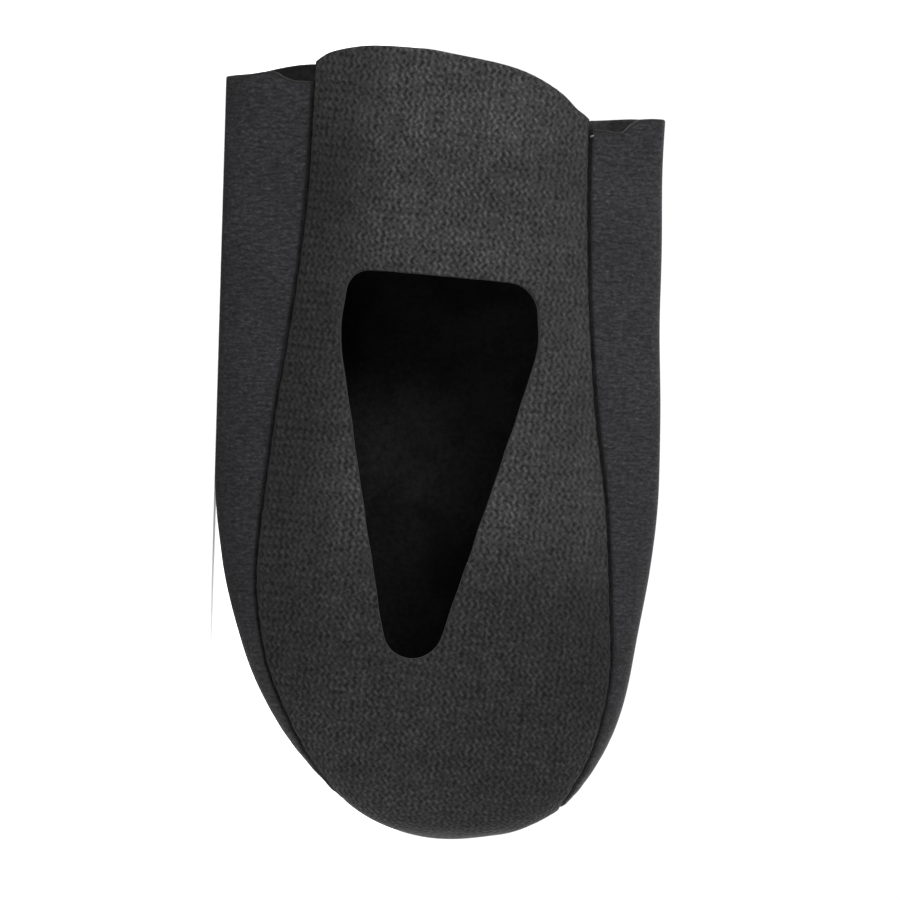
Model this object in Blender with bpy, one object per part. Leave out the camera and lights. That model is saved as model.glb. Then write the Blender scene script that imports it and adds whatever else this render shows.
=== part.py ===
"""Cycling toe cover for a left shoe: a stretch upper sewn to a knitted sole panel with a cleat window.

The cover lies on its outer side, as on a floor. +X points to the toe, +Z to the inner side of the
foot, and -Y is the sole's side. The origin is at the middle of the floor under the cover.
Metres throughout.

The whole outer face is one function of two numbers. The station runs from 0 at the rear to 1 at the
tip of the toe. The turn runs round a section: 0 at the middle of the sole, -0.5 near the floor,
+0.5 at the inner side, and -1 or +1 at the middle of the instep. Both pieces are cut from it.
"""
import math

import bmesh
import bpy
import numpy as np

# Driving sizes
LENGTH = 0.190          # rear edge of the sole panel to the tip of the toe
BALL_WIDTH = 0.1068     # outer side to inner side, at the ball of the foot
DEPTH = 0.054           # sole to instep at the collar
PANEL_BULGE = 0.0080    # the sole panel's crown stands this far out of its two seams
UPPER_WALL = 0.0025     # stretch foam with a knit on both faces
PANEL_WALL = 0.0020     # coarse hard-wearing knit
SEAM_GAP = 0.0003       # the two pieces meet edge to edge with this clearance
COLLAR_SLANT = 0.0160   # the collar's edge runs this far from its rearmost to its foremost point
WINDOW_LENGTH = 0.0926  # cleat window, along the foot
WINDOW_WIDTH = 0.0476   # cleat window, across its wide rear part
WINDOW_START = 0.0543   # from the rear edge of the sole panel to the window's rear edge
WINDOW_MIDDLE = 0.0532  # the window's middle line above the floor

# How finely the two sheets are divided
PANEL_COLUMNS = 26
UPPER_COLUMNS = 40
SEAM_ROWS = 28          # rows that both sheets share, to the seam's foremost point
SHARED_FROM = 0.12      # the seam row where they start
PANEL_OWN_ROWS = 5      # the panel's rows behind those
UPPER_OWN_ROWS = 3      # the upper's
TIP_RINGS = 6           # the panel's closed rings round the tip of the toe
PANEL_LEAD = 3          # the higher this power, the later the panel's rows bow towards the tip
ARC_STEPS = 5           # straight pieces in each round corner of the window
FINE_STEPS = 400        # points at which the seam is read to find a place along it
SMALL_STEP = 1e-4       # step of station and of turn that a normal is worked out from
BOW_POWER = 2.5         # the higher, the later a row bends from its middle to its ends
EASED_ROWS = 0.35       # share of the rows that ease out of the collar edge's own line
SHARP_ANGLE = 50        # degrees between faces that are shaded as an edge

# A quarter of a section is one cubic curve. Its handles are shares of its half width and its depth.
FLAT_HANDLE = 0.74
ROUND_HANDLE = 0.62

# Shares of a half turn taken by the sole's quarter and by the straight wall at the side
SOLE_SHARE = 0.38
WALL_SHARE = 0.14

# Sections along the foot. low and high are shares of BALL_WIDTH above the floor, bulge is a share
# of PANEL_BULGE, and the other columns are shares of DEPTH from the middle: sole and top are the
# two crowns, front and back are the ends of the straight side wall that the cover lies on.
SECTIONS = {
    "station": (0.00, 0.10, 0.20, 0.30, 0.36, 0.45, 0.55, 0.65, 0.75, 0.85, 0.93, 1.00),
    "low":     (0.00, 0.00, 0.00, 0.00, 0.00, 0.021, 0.073, 0.153, 0.252, 0.359, 0.455, 0.545),
    "high":    (0.989, 0.988, 0.991, 0.998, 1.00, 0.986, 0.954, 0.915, 0.850, 0.760, 0.645, 0.545),
    "sole":    (-0.50, -0.50, -0.495, -0.485, -0.475, -0.46, -0.425, -0.37, -0.29, -0.185, -0.09, 0.03),
    "top":     (0.50, 0.48, 0.46, 0.43, 0.41, 0.375, 0.335, 0.295, 0.25, 0.195, 0.125, 0.03),
    "front":   (-0.18, -0.18, -0.18, -0.18, -0.18, -0.17, -0.15, -0.125, -0.09, -0.045, -0.01, 0.03),
    "back":    (0.19, 0.19, 0.19, 0.19, 0.18, 0.165, 0.14, 0.12, 0.10, 0.08, 0.06, 0.03),
    "bulge":   (1.00, 1.00, 0.96, 0.86, 0.78, 0.58, 0.36, 0.18, 0.06, 0.00, 0.00, 0.00),
}

# The U-shaped seam, from the collar round to its foremost point on the instep side of the toe. Each
# row holds the station and the turn of the seam on the outer side and on the inner side.
SEAM = {
    "row":          (0.00, 0.08, 0.16, 0.25, 0.34, 0.43, 0.52, 0.60, 0.68, 0.76, 0.84, 0.92, 1.00),
    "low_station":  (0.00, 0.09, 0.18, 0.28, 0.38, 0.48, 0.575, 0.655, 0.72, 0.768, 0.798, 0.811, 0.815),
    "low_turn":     (0.130, 0.134, 0.145, 0.169, 0.191, 0.230, 0.259, 0.272, 0.33, 0.48, 0.65, 0.82, 1.00),
    "high_station": (0.00, 0.09, 0.18, 0.28, 0.38, 0.48, 0.575, 0.655, 0.715, 0.765, 0.797, 0.811, 0.815),
    "high_turn":    (0.150, 0.150, 0.153, 0.163, 0.185, 0.214, 0.250, 0.258, 0.265, 0.30, 0.46, 0.72, 1.00),
}

# The collar's edge round the foot, as shares of COLLAR_SLANT from the rear edge of the sole panel
COLLAR = {
    "turn": (-1.00, -0.84, -0.70, -0.60, -0.52, -0.38, -0.25, -0.13,
             0.15, 0.22, 0.30, 0.38, 0.52, 0.70, 0.84, 1.00),
    "upper": (0.50, 0.20, 0.37, 0.47, 0.52, 0.49, 0.56, 0.64,
              1.12, 1.16, 1.18, 1.00, 0.95, 0.88, 0.93, 0.50),
}
PANEL_EDGE = {
    "across": (-1.00, -0.85, -0.50, -0.20, 0.00, 0.36, 0.70, 0.88, 1.00),
    "setback": (0.25, 0.10, 0.00, 0.03, 0.11, 0.28, 0.60, 0.87, 1.00),
}

# Corners of the cleat window before rounding: shares of WINDOW_LENGTH from its rear edge, of
# WINDOW_WIDTH from its middle line, and each corner's radius as a share of WINDOW_WIDTH.
WINDOW_CORNERS = (
    (-0.010, -0.475, 0.12),
    (0.165, -0.515, 0.60),
    (1.240, -0.138, 0.151),
    (0.190, 0.505, 0.60),
    (0.020, 0.485, 0.17),
)


def smooth(knots, values, at):
    """Reads a table on a smooth curve through its rows that never swings past them."""
    knots, values, at = (np.asarray(a, float) for a in (knots, values, at))
    step = np.diff(knots)
    rise = np.diff(values) / step
    slope = np.empty_like(values)
    slope[0], slope[-1] = rise[0], rise[-1]
    before, after = rise[:-1], rise[1:]
    near, far = 2 * step[1:] + step[:-1], step[1:] + 2 * step[:-1]
    same_way = before * after > 0
    safe_before, safe_after = np.where(same_way, before, 1), np.where(same_way, after, 1)
    slope[1:-1] = np.where(same_way, (near + far) / (near / safe_before + far / safe_after), 0)
    i = np.clip(np.searchsorted(knots, at, side="right") - 1, 0, len(step) - 1)
    t = (at - knots[i]) / step[i]
    inside = (values[i] * (1 + 2 * t) * (1 - t) ** 2 + values[i + 1] * t * t * (3 - 2 * t)
              + step[i] * (slope[i] * t * (1 - t) ** 2 - slope[i + 1] * t * t * (1 - t)))
    line = np.where(t < 0, values[0] + slope[0] * (at - knots[0]), inside)
    return np.where(t > 1, values[-1] + slope[-1] * (at - knots[-1]), line)


def section(name, station):
    return smooth(SECTIONS["station"], SECTIONS[name], station)


def seam(side, row):
    """Station and turn of the seam on the outer (low) or inner (high) side, at rows from 0 to 1."""
    return [smooth(SEAM["row"], SEAM[side + kind], row) for kind in ("_station", "_turn")]


def seam_turns(station):
    """Turn of the outer and of the inner seam at a station."""
    return [np.interp(station, *seam(side, np.linspace(0, 1, FINE_STEPS))) for side in ("low", "high")]


def station_of(x):
    """The station at a distance from the rear edge of the sole panel."""
    return np.arcsin(np.clip(np.asarray(x, float) / LENGTH, -1, 1)) / (math.pi / 2)


def quarter(t):
    """A quarter of a section, from its crown (0) to the side wall (1): across and down, as shares."""
    across = 3 * FLAT_HANDLE * t * (1 - t) ** 2 + 3 * t * t * (1 - t) + t ** 3
    down = 3 * (1 - ROUND_HANDLE) * t * t * (1 - t) + t ** 3
    return across, down


def outer_face(station, turn):
    """The cover's outer face: crown, straight wall and crown at each side, with the panel's bulge."""
    station, turn = np.broadcast_arrays(np.asarray(station, float), np.asarray(turn, float))
    turn = (turn + 1) % 2 - 1
    around = np.abs(turn)
    low, high = (section(name, station) * BALL_WIDTH for name in ("low", "high"))
    sole, top, front, back = (section(name, station) * DEPTH for name in ("sole", "top", "front", "back"))
    bulge = section("bulge", station) * PANEL_BULGE
    middle = (low + high) / 2
    half = np.where(turn < 0, low, high) - middle
    on_sole = np.clip(around / SOLE_SHARE, 0, 1)
    on_wall = np.clip((around - SOLE_SHARE) / WALL_SHARE, 0, 1)
    on_top = np.clip((around - SOLE_SHARE - WALL_SHARE) / (1 - SOLE_SHARE - WALL_SHARE), 0, 1)
    sole_across, sole_down = quarter(on_sole)
    top_across, top_down = quarter(1 - on_top)
    flat_sole = sole + bulge
    y = np.where(around < SOLE_SHARE, flat_sole + (front - flat_sole) * sole_down,
                 np.where(on_top > 0, top + (back - top) * top_down, front + (back - front) * on_wall))
    z = middle + half * np.where(around < SOLE_SHARE, sole_across, top_across)
    low_turn, high_turn = seam_turns(station)
    panel = 2 * (turn + low_turn) / (low_turn + high_turn) - 1
    y = y - bulge * np.clip(1 - panel ** 2, 0, None)
    x = LENGTH * np.sin(station * math.pi / 2) - LENGTH / 2
    return np.stack([x, y, z], axis=-1)


def outward(station, turn):
    """Unit normals of the outer face, from two small steps on it."""
    h = SMALL_STEP
    station = np.clip(station, None, 1 - 2 * h)
    along = outer_face(station + h, turn) - outer_face(station - h, turn)
    around = outer_face(station, np.asarray(turn) + h) - outer_face(station, np.asarray(turn) - h)
    normal = np.cross(along, around)
    return normal / np.linalg.norm(normal, axis=-1, keepdims=True)


def seam_rows(edge, own_rows):
    """Rows along the outer and the inner seam: a sheet's own from its edge, then those both share."""
    shared = np.linspace(SHARED_FROM, 1, SEAM_ROWS + 1)
    dense = np.linspace(0, 1, FINE_STEPS)
    starts = [np.interp(station, seam(side, dense)[0], dense)
              for side, station in (("low", edge[0]), ("high", edge[-1]))]
    return [np.concatenate([np.linspace(start, SHARED_FROM, own_rows + 1)[:-1], shared])
            for start in starts]


def seam_line(low_rows, high_rows):
    """The seam from the outer side round the toe to the inner side: places, normals and its width way."""
    low_station, low_turn = seam("low", low_rows)
    high_station, high_turn = seam("high", high_rows[-2::-1])
    station = np.concatenate([low_station, high_station])
    turn = np.concatenate([-low_turn, high_turn])
    place, normal = outer_face(station, turn), outward(station, turn)
    width_way = np.cross(normal, np.gradient(place, axis=0))
    return place, normal, width_way / np.linalg.norm(width_way, axis=-1, keepdims=True)


def edge_station(setback):
    """Station of an edge point whose setback from the sole panel's rear is a share of the slant."""
    return station_of(setback * COLLAR_SLANT)


def blended_rows(edge, ends, middle, across):
    """Stations of a sheet's rows: the middle line's and the two ends' are blended across the sheet,
    and the first rows ease into the collar's edge."""
    share = (across + 1) / 2
    at_ends = ends[0][:, None] * (1 - share) + ends[1][:, None] * share
    stations = at_ends + (middle[:, None] - at_ends) * (1 - np.abs(across) ** BOW_POWER)
    ease = np.clip(1 - np.linspace(0, 1, len(middle)) / EASED_ROWS, 0, 1)[:, None] ** 2
    return stations + (edge - stations[0]) * ease


def sole_panel_sheet():
    """Rows of the sole panel: open strips from seam to seam, then closed rings round the toe's tip."""
    across = np.linspace(-1, 1, PANEL_COLUMNS + 1)
    edge = edge_station(smooth(PANEL_EDGE["across"], PANEL_EDGE["setback"], across))
    rows = seam_rows(edge, PANEL_OWN_ROWS)
    (low_station, low_turn), (high_station, high_turn) = (
        seam(side, row) for side, row in zip(("low", "high"), rows))
    rings = np.linspace(low_station[-1], 1, TIP_RINGS + 1)[1:]
    ends = [np.concatenate([station, rings]) for station in (low_station, high_station)]
    low_turn, high_turn = (np.append(turn, np.ones(TIP_RINGS)) for turn in (low_turn, high_turn))
    lead = np.linspace(0, 1, len(low_turn)) ** PANEL_LEAD
    middle = (ends[0] + ends[1]) / 2 * (1 - lead) + lead
    stations = blended_rows(edge, ends, middle, across)
    share = (across + 1) / 2
    turns = -low_turn[:, None] * (1 - share) + high_turn[:, None] * share
    index = np.arange(stations.size).reshape(stations.shape)
    index[-1 - TIP_RINGS:, -1] = index[-1 - TIP_RINGS:, 0]
    index[-1, :] = index[-1, 0]
    return stations, turns, index, rows


def upper_sheet():
    """Rows of the upper, from the outer seam over the instep to the inner seam."""
    across = np.linspace(-1, 1, UPPER_COLUMNS + 1)
    share = (across + 1) / 2
    collar_turn = np.linspace(-seam("low", 0)[1], seam("high", 0)[1] - 2, UPPER_COLUMNS + 1)
    edge = edge_station(smooth(COLLAR["turn"], COLLAR["upper"], (collar_turn + 1) % 2 - 1))
    rows = seam_rows(edge, UPPER_OWN_ROWS)
    (low_station, low_turn), (high_station, high_turn) = (
        seam(side, row) for side, row in zip(("low", "high"), rows))
    turns = -low_turn[:, None] * (1 - share) + (high_turn[:, None] - 2) * share
    middle = np.linspace(edge[len(edge) // 2], low_station[-1], len(low_turn))
    stations = blended_rows(edge, (low_station, high_station), middle, across)
    index = np.arange(stations.size).reshape(stations.shape)
    index[-1, :] = index[-1, 0]
    return stations, turns, index, rows


def walled_mesh(name, outer, inner, index, flip):
    """One closed wall: the outer sheet, the inner sheet turned round, and a rim along every free edge."""
    count = len(outer)
    mesh = bmesh.new()
    points = [mesh.verts.new(point) for point in np.concatenate([outer, inner])]
    mesh.verts.index_update()
    corners = np.stack([index[:-1, :-1], index[:-1, 1:], index[1:, 1:], index[1:, :-1]], axis=-1)
    rings = [list(dict.fromkeys(ring.tolist())) for ring in corners.reshape(-1, 4)]
    for ring in rings:
        if len(ring) > 2:
            ring = ring[::-1] if flip else ring
            mesh.faces.new([points[i] for i in ring])
            mesh.faces.new([points[i + count] for i in reversed(ring)])
    for loop in [face_edge.link_loops[0] for face_edge in mesh.edges if len(face_edge.link_loops) == 1]:
        start, end = loop.vert.index, loop.link_loop_next.vert.index
        if start < count:
            mesh.faces.new([points[end], points[start], points[start + count], points[end + count]])
    bmesh.ops.delete(mesh, geom=[point for point in mesh.verts if not point.link_faces], context="VERTS")
    data = bpy.data.meshes.new(name)
    mesh.to_mesh(data)
    mesh.free()
    data.shade_smooth()
    data.set_sharp_from_angle(angle=math.radians(SHARP_ANGLE))
    return data


def add_object(name, data, material):
    piece = bpy.data.objects.new(name, data)
    bpy.context.collection.objects.link(piece)
    if material:
        data.materials.append(material)
    return piece


def cloth(name, colour, roughness):
    material = bpy.data.materials.new(name)
    material.use_nodes = True
    shader = material.node_tree.nodes["Principled BSDF"]
    shader.inputs["Base Color"].default_value = (*colour, 1)
    shader.inputs["Roughness"].default_value = roughness
    shader.inputs["Metallic"].default_value = 0
    return material


def build_sheet(name, sheet, wall, seam_side, flip, material):
    """Places a sheet on the outer face, draws its seam edge back by half the gap and gives it its wall."""
    stations, turns, index, rows = sheet
    outer, normal = outer_face(stations, turns), outward(stations, turns)
    place, seam_normal, width_way = seam_line(*rows)
    edge = place + seam_side * SEAM_GAP / 2 * width_way
    last = len(rows[0])
    for column, part in ((0, slice(0, last)), (-1, slice(None, last - 2, -1))):
        outer[:last, column] = edge[part]
        normal[:last, column] = seam_normal[part]
    inner = outer - wall * normal
    data = walled_mesh(name, outer.reshape(-1, 3), inner.reshape(-1, 3), index, flip)
    return add_object(name, data, material)


def rounded(corners, steps):
    """An outline with each corner (along, across, radius) turned on an arc."""
    outline = []
    for i, (along, across, radius) in enumerate(corners):
        here = np.array((along, across))
        back = np.array(corners[i - 1][:2]) - here
        ahead = np.array(corners[(i + 1) % len(corners)][:2]) - here
        back, ahead = back / np.linalg.norm(back), ahead / np.linalg.norm(ahead)
        half = math.acos(np.clip(back @ ahead, -1, 1)) / 2
        middle_way = (back + ahead) / np.linalg.norm(back + ahead)
        centre = here + middle_way * radius / math.sin(half)
        side_way = (ahead - back) / np.linalg.norm(ahead - back)
        for step in range(steps + 1):
            angle = (math.pi / 2 - half) * (2 * step / steps - 1)
            outline.append(centre + radius * (math.sin(angle) * side_way - math.cos(angle) * middle_way))
    return outline


def window_cutter():
    """A prism through the sole panel, with the window's rounded outline."""
    corners = [(WINDOW_START - LENGTH / 2 + along * WINDOW_LENGTH,
                WINDOW_MIDDLE + across * WINDOW_WIDTH,
                radius * WINDOW_WIDTH) for along, across, radius in WINDOW_CORNERS]
    mesh = bmesh.new()
    ring = [mesh.verts.new((x, -DEPTH, z)) for x, z in rounded(corners, ARC_STEPS)]
    face = mesh.faces.new(ring)
    swept = bmesh.ops.extrude_face_region(mesh, geom=[face])["geom"]
    moved = [item for item in swept if isinstance(item, bmesh.types.BMVert)]
    bmesh.ops.translate(mesh, verts=moved, vec=(0, DEPTH, 0))
    bmesh.ops.recalc_face_normals(mesh, faces=mesh.faces)
    data = bpy.data.meshes.new("window_cutter")
    mesh.to_mesh(data)
    mesh.free()
    cutter = add_object("window_cutter", data, None)
    cutter.hide_render = True
    cutter.display_type = "WIRE"
    return cutter


for old in list(bpy.data.objects):
    bpy.data.objects.remove(old)

foam = cloth("stretch_foam", (0.034, 0.034, 0.037), 0.85)
knit = cloth("hard_wearing_knit", (0.045, 0.045, 0.045), 0.90)
upper = build_sheet("upper", upper_sheet(), UPPER_WALL, -1, False, foam)
sole_panel = build_sheet("sole_panel", sole_panel_sheet(), PANEL_WALL, 1, True, knit)
window = sole_panel.modifiers.new("cleat_window", "BOOLEAN")
window.operation = "DIFFERENCE"
window.solver = "EXACT"
window.object = window_cutter()
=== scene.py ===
"""Looks of the left cycling toe cover: stretch upper, knitted sole panel, seam and threads.

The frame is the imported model's: +X to the toe, +Z up to the inner side of the foot, -Y the sole's
side. Metres throughout. Every surface is worked out on a grid of two numbers, station and turn.
"""
import math

import bpy
import numpy as np
from mathutils import Matrix


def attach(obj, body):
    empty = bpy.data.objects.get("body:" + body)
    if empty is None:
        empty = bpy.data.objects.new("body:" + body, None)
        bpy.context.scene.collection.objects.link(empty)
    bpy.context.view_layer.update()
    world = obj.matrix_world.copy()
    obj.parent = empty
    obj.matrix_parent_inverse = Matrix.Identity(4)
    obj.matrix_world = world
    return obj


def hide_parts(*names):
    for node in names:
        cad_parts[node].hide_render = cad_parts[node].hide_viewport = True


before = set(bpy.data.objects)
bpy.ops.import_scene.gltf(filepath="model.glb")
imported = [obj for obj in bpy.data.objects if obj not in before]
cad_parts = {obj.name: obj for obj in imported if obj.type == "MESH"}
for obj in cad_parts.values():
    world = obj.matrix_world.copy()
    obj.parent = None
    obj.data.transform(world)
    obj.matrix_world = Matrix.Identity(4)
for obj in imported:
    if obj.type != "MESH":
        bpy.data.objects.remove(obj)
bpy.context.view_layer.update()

# The upper

# One sheet of stretch foam with smooth jersey on its face and a brushed lining behind, 2.5 mm
# thick. It is cut in one piece, wrapped over the instep and round both sides, and left raw at the
# collar, where the foam's core shows in the cut.
LENGTH = 0.190
BALL_WIDTH = 0.1068
DEPTH = 0.054
PANEL_BULGE = 0.0080
COLLAR_SLANT = 0.0160
UPPER_WALL = 0.0025
FLAT_HANDLE = 0.74
ROUND_HANDLE = 0.62
SOLE_SHARE = 0.38
WALL_SHARE = 0.14

# Sections along the cover: the floor's and the inner edge as shares of the ball's width, then the
# faces of sole and instep and both folds of the side wall as shares of the depth, and the panel's
# dome as a share of its greatest height.
SECTIONS = {
    "station": (0.00, 0.10, 0.20, 0.30, 0.36, 0.45, 0.55, 0.65, 0.75, 0.85, 0.93, 1.00),
    "low":     (0.00, 0.00, 0.00, 0.00, 0.00, 0.021, 0.073, 0.153, 0.252, 0.359, 0.455, 0.545),
    "high":    (0.989, 0.988, 0.991, 0.998, 1.00, 0.986, 0.954, 0.915, 0.850, 0.760, 0.645, 0.545),
    "sole":    (-0.50, -0.50, -0.495, -0.485, -0.475, -0.46, -0.425, -0.37, -0.29, -0.185, -0.09, 0.03),
    "top":     (0.50, 0.48, 0.46, 0.43, 0.41, 0.375, 0.335, 0.295, 0.25, 0.195, 0.125, 0.03),
    "front":   (-0.18, -0.18, -0.18, -0.18, -0.18, -0.17, -0.15, -0.125, -0.09, -0.045, -0.01, 0.03),
    "back":    (0.19, 0.19, 0.19, 0.19, 0.18, 0.165, 0.14, 0.12, 0.10, 0.08, 0.06, 0.03),
    "bulge":   (1.00, 1.00, 0.96, 0.86, 0.78, 0.58, 0.36, 0.18, 0.06, 0.00, 0.00, 0.00),
}

# The seam on the foot's outer (low) and inner (high) side, from the collar to the toe's instep side
SEAM = {
    "row":          (0.00, 0.08, 0.16, 0.25, 0.34, 0.43, 0.52, 0.60, 0.68, 0.76, 0.84, 0.92, 1.00),
    "low_station":  (0.00, 0.09, 0.18, 0.28, 0.38, 0.48, 0.575, 0.655, 0.730, 0.785, 0.811, 0.818, 0.820),
    "low_turn":     (0.130, 0.134, 0.145, 0.169, 0.191, 0.230, 0.259, 0.272, 0.310, 0.342, 0.46, 0.74, 1.00),
    "high_station": (0.00, 0.09, 0.18, 0.28, 0.38, 0.48, 0.575, 0.655, 0.725, 0.775, 0.808, 0.818, 0.820),
    "high_turn":    (0.150, 0.150, 0.153, 0.163, 0.185, 0.214, 0.250, 0.261, 0.280, 0.300, 0.36, 0.64, 1.00),
}

# How far the upper is cut back at the collar, all round the opening, as shares of the slant
COLLAR = {
    "turn": (-1.00, -0.84, -0.70, -0.60, -0.52, -0.38, -0.25, -0.193, -0.172, -0.155, -0.13,
             0.15, 0.18, 0.203, 0.222, 0.25, 0.30, 0.38, 0.52, 0.70, 0.84, 1.00),
    "upper": (0.50, 0.20, 0.37, 0.45, 0.49, 0.49, 0.46, 0.41, 0.50, 0.545, 0.55,
              1.13, 1.16, 1.18, 1.06, 0.97, 0.955, 0.955, 0.95, 0.91, 0.95, 0.50),
}

UPPER_ROWS = 130
UPPER_COLUMNS = 190
CUT_RADIUS = 0.0006         # corners of a cut edge
SEAM_ROLL = 0.0012          # this far from the seam the cloth starts to roll into it
SEAM_DROP = 0.0013          # how deep it rolls
SEAM_SLIT = 0.00016         # half the slit between the two rolled edges
SEAM_LEAD = -0.02           # the seam's line starts at this row, just behind the collar
SEAM_POINTS = 1400
PUCKER = 0.00010            # height of the small puckers along the seam
PUCKER_LENGTH = 0.0062      # from one pucker to the next
PUCKER_REACH = 0.0040       # how far they run into the cloth
PUCKER_DRIFT = 1.7          # how far they stray from an even beat, as an angle
PUCKER_STRAY = 0.023        # over what length they stray
SWELL = 0.00022             # broad unevenness of limp cloth
SWELL_WAVES = ((61, 17, 0.3, 0.7), (-38, 44, 29, 2.1), (23, -71, 57, 4.0), (83, 29, -64, 5.2))
CREASE_ENDS = 0.35          # share of a crease's height that is left at its ends
FLOOR_GAP = 0.00002         # the cloth's lowest points stay this far above the floor
PRESSED = 0.9               # share of its thickness that a wall keeps where it lies on the floor
FLOOR_EASE = 0.012          # the relief fades out over this height above the floor
ROW_LENGTH = 0.18           # length of the upper along its rows, from the collar to the toe
COLLAR_EASE = 0.35          # share of the rows over which they turn from the collar's cut to the seam
MIDDLE_BLEND = 2.5          # how squarely the rows cross the instep before they bend to the seams
TIP_ROUND = 0.005           # from the tip to here the cloth's map runs round the tip
TIP_BLEND = 0.011           # and over this length beyond it turns straight
CUT_ROWS = 4                # rows of the grid that show the cut at the collar
LIT_PATCH_MIDDLE = (0.001, 0.024, 0.035)     # middle of a painted pool of light on the instep's lining, behind the cleat window

# Soft creases: station and turn of both ends, half width and height, where a
# negative height is a trough. The instep's creases are where a limp sleeve sinks when it lies empty.
CREASES = (
    (0.06, -0.80, 0.34, -0.97, 0.0085, -0.0011),
    (0.10, -0.72, 0.36, -0.86, 0.0070, 0.0007),
    (0.08, 0.86, 0.40, 0.96, 0.0090, -0.0012),
    (0.16, 0.74, 0.46, 0.84, 0.0070, 0.0006),
    (0.44, -0.90, 0.50, 0.92, 0.0080, -0.0007),
    (0.60, -0.84, 0.63, 0.88, 0.0065, -0.0006),
    (0.02, 0.56, 0.20, 0.62, 0.0060, -0.0006),
    (0.30, 0.47, 0.52, 0.50, 0.0075, -0.0005),
    (0.02, 0.235, 0.16, 0.215, 0.0035, -0.0004),
    (0.70, 0.16, 0.80, 0.235, 0.0060, -0.0006),
    (0.66, -0.20, 0.78, -0.24, 0.0065, -0.0005),
    (0.90, -0.30, 0.94, 0.10, 0.0045, -0.0005),
    (0.87, 0.30, 0.93, 0.52, 0.0030, 0.0005),
    (0.30, 0.135, 0.55, 0.165, 0.0055, 0.0005),
    (0.04, -0.085, 0.22, -0.10, 0.0055, -0.0004),
)


def smooth(knots, values, at):
    """A smooth curve through the rows of a table, cubic between rows, with slopes that never
    swing past them, and a straight line beyond its ends."""
    knots, values, at = (np.asarray(a, float) for a in (knots, values, at))
    step = np.diff(knots)
    rise = np.diff(values) / step
    slope = np.empty_like(values)
    slope[0], slope[-1] = rise[0], rise[-1]
    before, after = rise[:-1], rise[1:]
    near, far = 2 * step[1:] + step[:-1], step[1:] + 2 * step[:-1]
    same_way = before * after > 0
    safe_before, safe_after = np.where(same_way, before, 1), np.where(same_way, after, 1)
    slope[1:-1] = np.where(same_way, (near + far) / (near / safe_before + far / safe_after), 0)
    i = np.clip(np.searchsorted(knots, at, side="right") - 1, 0, len(step) - 1)
    t = (at - knots[i]) / step[i]
    inside = (values[i] * (1 + 2 * t) * (1 - t) ** 2 + values[i + 1] * t * t * (3 - 2 * t)
              + step[i] * (slope[i] * t * (1 - t) ** 2 - slope[i + 1] * t * t * (1 - t)))
    line = np.where(t < 0, values[0] + slope[0] * (at - knots[0]), inside)
    return np.where(t > 1, values[-1] + slope[-1] * (at - knots[-1]), line)


def unit(vectors):
    """Vectors divided by their lengths."""
    return vectors / np.linalg.norm(vectors, axis=-1, keepdims=True)


def length_run(line):
    """Length along a line at each of its points: the sum of the steps before it."""
    return np.concatenate([[0], np.cumsum(np.linalg.norm(np.diff(line, axis=0), axis=1))])


def station_at(setback):
    """The station at a length from the collar's rearmost point: its sine as a quarter turn's share."""
    return np.arcsin(setback / LENGTH) / (np.pi / 2)


def section(name, station):
    """One column of the sections' table, read at a station."""
    return smooth(SECTIONS["station"], SECTIONS[name], station)


def seam(side, row):
    """Station and turn of the seam on the outer (low) or inner (high) side, at rows from 0 to 1."""
    return [smooth(SEAM["row"], SEAM[side + kind], row) for kind in ("_station", "_turn")]


def seam_turns(station):
    """Turn of the outer and of the inner seam at a station."""
    return [np.interp(station, *seam(side, np.linspace(0, 1, 200))) for side in ("low", "high")]


def quarter(t):
    """A quarter of a section as one cubic curve, from its crown (0) to the side wall (1): across
    and down, as shares."""
    across = 3 * FLAT_HANDLE * t * (1 - t) ** 2 + 3 * t * t * (1 - t) + t ** 3
    down = 3 * (1 - ROUND_HANDLE) * t * t * (1 - t) + t ** 3
    return across, down


def outer_face(station, turn):
    """The cover's smooth outer face. x is the length times the sine of the station's quarter turn.
    y and z run round the section: sole quarter, straight side wall, instep quarter. The panel
    stands out of its two seams by the bulge times one minus the square of its place between them."""
    station, turn = np.broadcast_arrays(np.asarray(station, float), np.asarray(turn, float))
    turn = (turn + 1) % 2 - 1
    around = np.abs(turn)
    low, high = (section(name, station) * BALL_WIDTH for name in ("low", "high"))
    sole, top, front, back = (section(name, station) * DEPTH for name in ("sole", "top", "front", "back"))
    bulge = section("bulge", station) * PANEL_BULGE
    middle = (low + high) / 2
    half = np.where(turn < 0, low, high) - middle
    on_sole = np.clip(around / SOLE_SHARE, 0, 1)
    on_wall = np.clip((around - SOLE_SHARE) / WALL_SHARE, 0, 1)
    on_top = np.clip((around - SOLE_SHARE - WALL_SHARE) / (1 - SOLE_SHARE - WALL_SHARE), 0, 1)
    sole_across, sole_down = quarter(on_sole)
    top_across, top_down = quarter(1 - on_top)
    flat_sole = sole + bulge
    y = np.where(around < SOLE_SHARE, flat_sole + (front - flat_sole) * sole_down,
                 np.where(on_top > 0, top + (back - top) * top_down, front + (back - front) * on_wall))
    z = middle + half * np.where(around < SOLE_SHARE, sole_across, top_across)
    low_turn, high_turn = seam_turns(station)
    panel = 2 * (turn + low_turn) / (low_turn + high_turn) - 1
    y = y - bulge * np.clip(1 - panel ** 2, 0, None)
    x = LENGTH * (np.sin(station * math.pi / 2) - 0.5)
    return np.stack([x, y, z], axis=-1)


def outward(station, turn):
    """Unit normals of the outer face: the cross product of small steps along and around it."""
    h = 1e-4
    station = np.clip(station, None, 1 - 2 * h)
    along = outer_face(station + h, turn) - outer_face(station - h, turn)
    around = outer_face(station, np.asarray(turn) + h) - outer_face(station, np.asarray(turn) - h)
    return unit(np.cross(along, around))


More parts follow.
